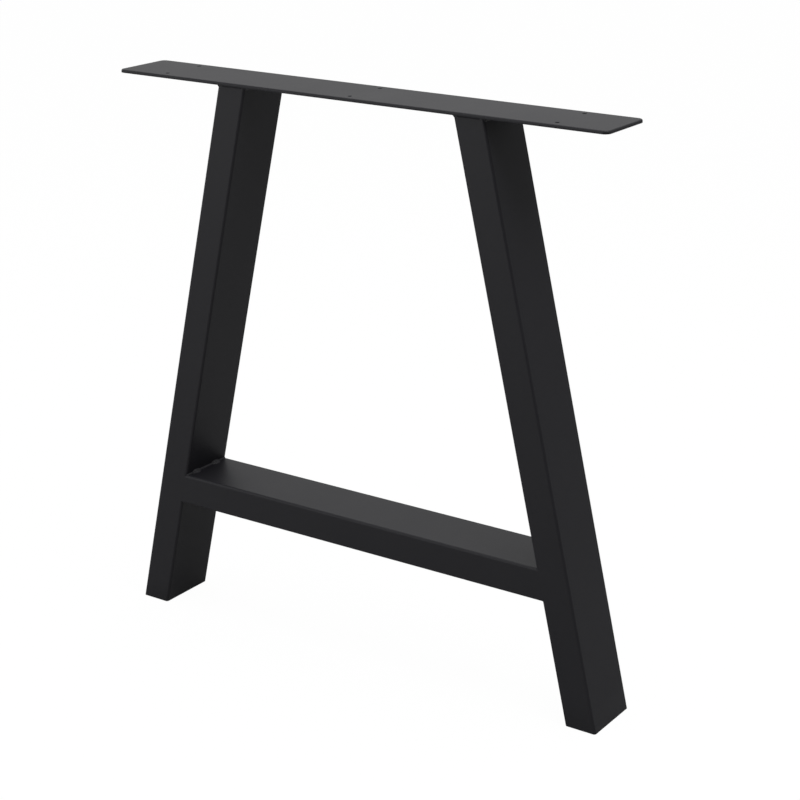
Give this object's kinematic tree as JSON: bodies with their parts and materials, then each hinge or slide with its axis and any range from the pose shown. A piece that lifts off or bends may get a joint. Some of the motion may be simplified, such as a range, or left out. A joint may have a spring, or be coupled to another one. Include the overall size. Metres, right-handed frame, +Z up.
{
  "type": "trestle table leg",
  "caption": "A-shaped welded steel table leg: leaning rectangular tube legs and a cross tube under a flat, drilled top plate",
  "frame": {"origin": "On the floor under the middle of the plate.", "axes": "+Z up, X along the top plate, Y from the front to the back of the leg."},
  "size_m": [0.7, 0.085, 0.72],
  "materials": {
    "powder_coated_steel": "matt black powder coat, fine grain",
    "plug_plastic": "matt black polyethylene"
  },
  "bodies": {
    "root": {"cross_tube": "powder_coated_steel", "left_bar_tack_bottom_back": "powder_coated_steel", "left_bar_tack_bottom_front": "powder_coated_steel", "left_bar_tack_top_back": "powder_coated_steel", "left_bar_tack_top_front": "powder_coated_steel", "left_bar_weld_back": "powder_coated_steel", "left_bar_weld_front": "powder_coated_steel", "left_foot_plug": "plug_plastic", "left_leg_tube": "powder_coated_steel", "left_plate_weld_back": "powder_coated_steel", "left_plate_weld_front": "powder_coated_steel", "left_plate_weld_inner": "powder_coated_steel", "left_plate_weld_outer": "powder_coated_steel", "right_bar_tack_bottom_back": "powder_coated_steel", "right_bar_tack_bottom_front": "powder_coated_steel", "right_bar_tack_top_back": "powder_coated_steel", "right_bar_tack_top_front": "powder_coated_steel", "right_bar_weld_back": "powder_coated_steel", "right_bar_weld_front": "powder_coated_steel", "right_foot_plug": "plug_plastic", "right_leg_tube": "powder_coated_steel", "right_plate_weld_back": "powder_coated_steel", "right_plate_weld_front": "powder_coated_steel", "right_plate_weld_inner": "powder_coated_steel", "right_plate_weld_outer": "powder_coated_steel", "top_plate": "powder_coated_steel"}
  },
  "joints": []
}
